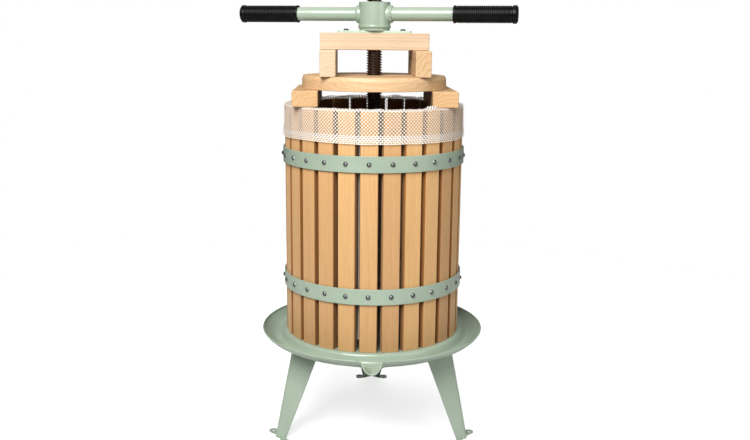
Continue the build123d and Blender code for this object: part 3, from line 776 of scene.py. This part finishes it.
# Depths of the cloth's waves, puffs and creases
CUFF_SLACK = 0.9 * MM
CUFF_CREASE = 0.8 * MM
HEM_SAG = 1.9 * MM
HEM_WAVE = 0.8 * MM
FOLD_PUFF = 1.0 * MM
FOLD_WAVE = 1.3 * MM
FOLD_CREASE = 0.8 * MM
FOLD_LEAST = 0.2 * MM
REAR_PUFF = 3.4 * MM
TUCK_RISE = 4.0 * MM
TUCK_BEARING = math.radians(-52.0)
TUCK_WIDTH = math.radians(2.4)
WALL_SLACK = 3.2 * MM
WALL_CREASE = 1.6 * MM
WALL_EASE = 60 * MM
FLOOR_WAVE = 1.6 * MM
FLOOR_EASE = 20 * MM
FLOOR_WAVES = 40

# Thread of the side seam
SEAM_LOW = BAG_FLOOR + 12 * MM
SEAM_HIGH = SLAT_TOP - 8 * MM
SEAM_PITCH = 2.2 * MM
SEAM_HALF_WIDTH = 1.2 * MM
SEAM_OUT = 4.6 * MM
SEAM_IN = 0.8 * MM
SEAM_RADIUS = 0.7 * MM
SEAM_STAND_OFF = 0.2 * MM


def soft(value, low, high):
    """Smooth step from 0 to 1 between two values."""
    share = min(max((value - low) / (high - low), 0.0), 1.0)
    return share * share * (3 - 2 * share)


def under_block(x, y):
    """1 where a lower block lies or can be pushed to, and 0 clear of it."""
    from_inside = soft(abs(x), BLOCK_IN - BLOCK_EASE, BLOCK_IN - BLOCK_GAP)
    from_outside = soft(abs(x), BLOCK_OUT + BLOCK_GAP, BLOCK_OUT + BLOCK_EASE)
    reach = -BLOCK_FRONT + BLOCK_TRAVEL
    from_end = soft(abs(y), reach + BLOCK_GAP, reach + BLOCK_END_EASE)
    return from_inside * (1 - from_outside) * (1 - from_end)


def ripple(bearing, turns, seed, height=0.0, tall=1.0):
    """Seeded wave round the basket, from -1 to 1."""
    spot = Vector((math.cos(bearing) * turns, math.sin(bearing) * turns, seed + height * tall))
    return noise.noise(spot)


def hang_cuff(reach, height, bearing):
    """Cuff outside the slats: slack and creases grow down to a wavy hem."""
    down = (SLAT_TOP - height) / (SLAT_TOP - HEM_Z)
    lower = height + (HEM_SAG * ripple(bearing, 2.2, 5.5) + HEM_WAVE * ripple(bearing, 6, 1.5)) * down
    reach += (CUFF_SLACK + CUFF_SLACK * ripple(bearing, 7, 3.1, height, 9)) * down
    reach += CUFF_CREASE * max(0, ripple(bearing, 15, 8.7, height, 12)) * down
    return reach, lower


def hang_fold(reach, height, bearing):
    """Fold over the slats' top: puffed, more so at the rear, tucked up once and flat under the blocks."""
    crown = soft(height, SLAT_TOP - 3 * MM, SLAT_TOP + 1 * MM)
    puff = FOLD_PUFF + FOLD_WAVE * ripple(bearing, 5, 2.2) + FOLD_CREASE * ripple(bearing, 17, 6.4)
    puff += REAR_PUFF * soft(math.sin(bearing), 0.3, 0.8) * (1 + 0.7 * ripple(bearing, 8, 4.9))
    tuck = TUCK_RISE * math.exp(-((bearing - TUCK_BEARING) / TUCK_WIDTH) ** 2)
    free = 1 - under_block(reach * math.cos(bearing), reach * math.sin(bearing))
    return reach, height + crown * free * (max(FOLD_LEAST, puff) + tuck)


def hang_wall(reach, height, bearing):
    """Wall inside the slats: it hangs slack between the floor and the fold."""
    from_floor = soft(height, BAG_FLOOR, BAG_FLOOR + WALL_EASE)
    slack = from_floor * (1 - soft(height, SLAT_TOP - WALL_EASE, SLAT_TOP))
    reach -= WALL_SLACK * slack * (0.6 + ripple(bearing, 4, 4.4, height, 6))
    reach -= WALL_CREASE * slack * max(0, ripple(bearing, 13, 7.3, height, 5))
    return reach, height


def hang_floor(reach, height, bearing):
    """Floor of the bag: wavy between the spindle's hole and the wall."""
    inward = soft(reach, BAG_HOLE, BAG_HOLE + FLOOR_EASE) * (1 - soft(reach, BAG_IN - FLOOR_EASE, BAG_IN))
    spot = Vector((reach * math.cos(bearing) * FLOOR_WAVES, reach * math.sin(bearing) * FLOOR_WAVES, 2.0))
    return reach, height + FLOOR_WAVE * inward * noise.noise(spot)


def hang(reach, height, bearing):
    """Where a point of the cloth comes to lie: its reach from the spindle and its height."""
    if height < FOLD_START and reach > CUFF_IN:
        return hang_cuff(reach, height, bearing)
    if reach > FOLD_IN or height > FOLD_START:
        return hang_fold(reach, height, bearing)
    if height > WALL_START:
        return hang_wall(reach, height, bearing)
    return hang_floor(reach, height, bearing)


def hung_cloth(name, profile):
    """Mesh of a cloth spun from its section, hung by the rules above and mapped in metres."""
    shape = bmesh.new()
    along = shape.verts.layers.float.new("along")
    knots, edges = chain(shape, [(reach, 0, height) for reach, height in profile])
    run = 0.0
    for index, knot in enumerate(knots):
        if index:
            run += (knot.co - knots[index - 1].co).length
        knot[along] = run
    spin_full(shape, knots + edges, BAG_STEPS)
    cloth_map = shape.loops.layers.uv.new("cloth")
    for face in shape.faces:
        bearings = [math.atan2(loop.vert.co.y, loop.vert.co.x) for loop in face.loops]
        wraps = max(bearings) - min(bearings) > math.pi
        for loop, bearing in zip(face.loops, bearings):
            if wraps and bearing < 0:
                bearing += 2 * math.pi
            loop[cloth_map].uv = (bearing * BAG_OUT, loop.vert[along])
    for knot in shape.verts:
        bearing = math.atan2(knot.co.y, knot.co.x)
        reach, height = hang(math.hypot(knot.co.x, knot.co.y), knot.co.z, bearing)
        knot.co = (reach * math.cos(bearing), reach * math.sin(bearing), height)
    return to_mesh(name, shape)


def steps_between(start, end, count):
    """Points evenly spaced from start up to but not including end."""
    return [
        (start[0] + (end[0] - start[0]) * k / count, start[1] + (end[1] - start[1]) * k / count)
        for k in range(count)
    ]


def net_bag():
    """Bag with its hem, the stripe above it, the cuff's backing and the overlocked side seam."""
    fold = [
        (BAG_IN, FOLD_START),
        (FOLD_IN, SLAT_TOP - 1.2 * MM),
        (BAG_IN + 2.2 * MM, SLAT_TOP + 0.5 * MM),
        (BAG_IN + 5 * MM, FOLD_Z),
        (BAG_IN + 8 * MM, FOLD_Z),
        (BAG_OUT - 3.4 * MM, FOLD_Z),
        (BAG_OUT - 1.2 * MM, SLAT_TOP + 0.4 * MM),
        (BAG_OUT - 0.2 * MM, SLAT_TOP - 1.4 * MM),
    ]
    floor_edge = (BAG_IN - 5 * MM, BAG_FLOOR)
    profile = steps_between((BAG_HOLE, BAG_FLOOR), floor_edge, 16)
    profile += [floor_edge, (BAG_IN - 1.5 * MM, BAG_FLOOR + 1.5 * MM)]
    profile += steps_between((BAG_IN, WALL_START), fold[0], 46)
    profile += fold
    profile += steps_between((BAG_OUT, FOLD_START), (BAG_OUT, HEM_Z), 18) + [(BAG_OUT, HEM_Z)]
    cloth = finished("net_bag", hung_cloth("net_bag", profile), net, "base")
    cloth.data.materials.append(inner_net_painted_shade)
    cloth.data.materials.append(fold_net)
    # Faces inside the slats take the darker inner net with its painted shade; the fold takes the denser fold
    # net
    for face in cloth.data.polygons:
        if math.hypot(face.center.x, face.center.y) < BAG_IN + 0.4 * MM:
            face.material_index = 1
        elif face.center.z > FOLD_NET_Z:
            face.material_index = 2
    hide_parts("press_bag")
    backing = cuff_backing(cloth.data)
    outside = BAG_OUT + HEM_STAND_OFF
    fold_low, fold_top = (outside, HEM_Z - HEM_DROP), (outside, HEM_Z + HEM_FOLD)
    stripe_top = (outside, HEM_Z + HEM_TOP)
    fold_line = steps_between(fold_top, fold_low, 4) + [fold_low]
    stripe_line = steps_between(stripe_top, fold_top, 4) + [fold_top]
    hem = finished("bag_hem", hung_cloth("bag_hem", fold_line), net, "base")
    stripe = finished("hem_stripe", hung_cloth("hem_stripe", stripe_line), hem_net, "base")
    seam = overlock_seam()


def cuff_backing(cloth):
    """Back of the cuff's threads, a thread's thickness inside its front."""
    shape = bmesh.new()
    shape.from_mesh(cloth)
    rest = [
        face for face in shape.faces
        if face.material_index or face.calc_center_median().z > BACKING_TOP
    ]
    bmesh.ops.delete(shape, geom=rest, context="FACES")
    for knot in shape.verts:
        reach = math.hypot(knot.co.x, knot.co.y)
        inward = 1 - NET_THICKNESS / reach
        knot.co = (knot.co.x * inward, knot.co.y * inward, knot.co.z)
    return finished("cuff_backing", to_mesh("cuff_backing", shape), net, "base")


def overlock_seam():
    """Thread looped over the raised side seam, which shows between two slats."""
    bearing = SLAT_PHASE - math.pi / SLAT_COUNT
    out = Vector((math.cos(bearing), math.sin(bearing), 0))
    across = Vector((-out.y, out.x, 0))
    points = []
    count = int((SEAM_HIGH - SEAM_LOW) / SEAM_PITCH)
    for k in range(count + 1):
        reach, height = hang(BAG_IN + SEAM_STAND_OFF, SEAM_LOW + SEAM_PITCH * k, bearing)
        side, rise = (SEAM_HALF_WIDTH, SEAM_OUT) if k % 2 else (-SEAM_HALF_WIDTH, SEAM_IN)
        points.append(out * (reach + rise) + across * side + Vector((0, 0, height)))
    mesh = bead("overlock_seam", points, SEAM_RADIUS, cyclic=False)
    return finished("overlock_seam", mesh, seam_cream, "base")


pressed_pan()
hub_foot_ring()
for handle, side in (("left", -1), ("right", 1)):
    weld_beads(handle, side)
    ribbed_grip(f"grip_{handle}", side)
net_bag()


# Floor and soft studio light; each lamp has a kind, a place, a size or an angle, and a power
FLOOR_RADIUS = 1.3
SKY_GLOW = 0.10
LAMP_AIM = Vector((0, 0, 0.38))
LAMPS = {
    "key": ("AREA", (-0.51, -1.37, 1.64), 1.3, 62),
    "back": ("SUN", (0.0, 1.4, 2.2), math.radians(50), 0.42),
    "fill": ("AREA", (1.75, -1.35, 1.15), 1.4, 16),
    "floor_wash": ("SUN", (0.0, 0.0, 2.0), math.radians(60), 5.5),
}


def studio_floor():
    """Pale round floor."""
    shape = bmesh.new()
    bmesh.ops.create_circle(shape, cap_ends=True, segments=128, radius=FLOOR_RADIUS)
    floor = bpy.data.objects.new("studio_floor", to_mesh("studio_floor", shape))
    scene.collection.objects.link(floor)
    made, tree, shader, place = new_finish("studio_floor")
    cloud = grain_noise(tree, place.outputs["Object"], (2, 2, 2), 3)
    tree.links.new(ramp(tree, cloud, (0.3, 0.50), (0.7, 0.52)), shader.inputs["Base Color"])
    shader.inputs["Roughness"].default_value = 0.9
    floor.data.materials.append(made)
    return floor


def studio_lamp(name, kind, spot, size, power):
    """Soft lamp at a place, aimed at the middle of the press."""
    light = bpy.data.lights.new(name, kind)
    light.energy = power
    if kind == "SUN":
        light.angle = size
    else:
        light.shape = "DISK"
        light.size = size
    lamp = bpy.data.objects.new(name, light)
    lamp.location = spot
    aim = LAMP_AIM - Vector(spot)
    lamp.rotation_euler = aim.to_track_quat("-Z", "Y").to_euler()
    lamp.visible_camera = False
    scene.collection.objects.link(lamp)
    return lamp


def studio():
    """Floor, white surround, a large key light, a weak fill, a light from behind and a wash on the floor."""
    floor = studio_floor()
    world = scene.world or bpy.data.worlds.new("studio")
    scene.world = world
    world.use_nodes = True
    sky = world.node_tree
    rays = sky.nodes.new("ShaderNodeLightPath")
    glow = spread(sky, rays.outputs["Is Camera Ray"], SKY_GLOW, 1.0)
    sky.links.new(glow, sky.nodes["Background"].inputs["Strength"])
    sky.nodes["Background"].inputs["Color"].default_value = (1.0, 1.0, 1.0, 1)
    lamps = {name: studio_lamp(name, *lamp) for name, lamp in LAMPS.items()}
    floor_only = bpy.data.collections.new("floor_only")
    floor_only.objects.link(floor)
    wash = lamps["floor_wash"]
    wash.light_linking.receiver_collection = floor_only
    wash.data.cycles.max_bounces = 0
    wash.data.use_shadow = False
    scene.view_settings.view_transform = "Standard"


studio()
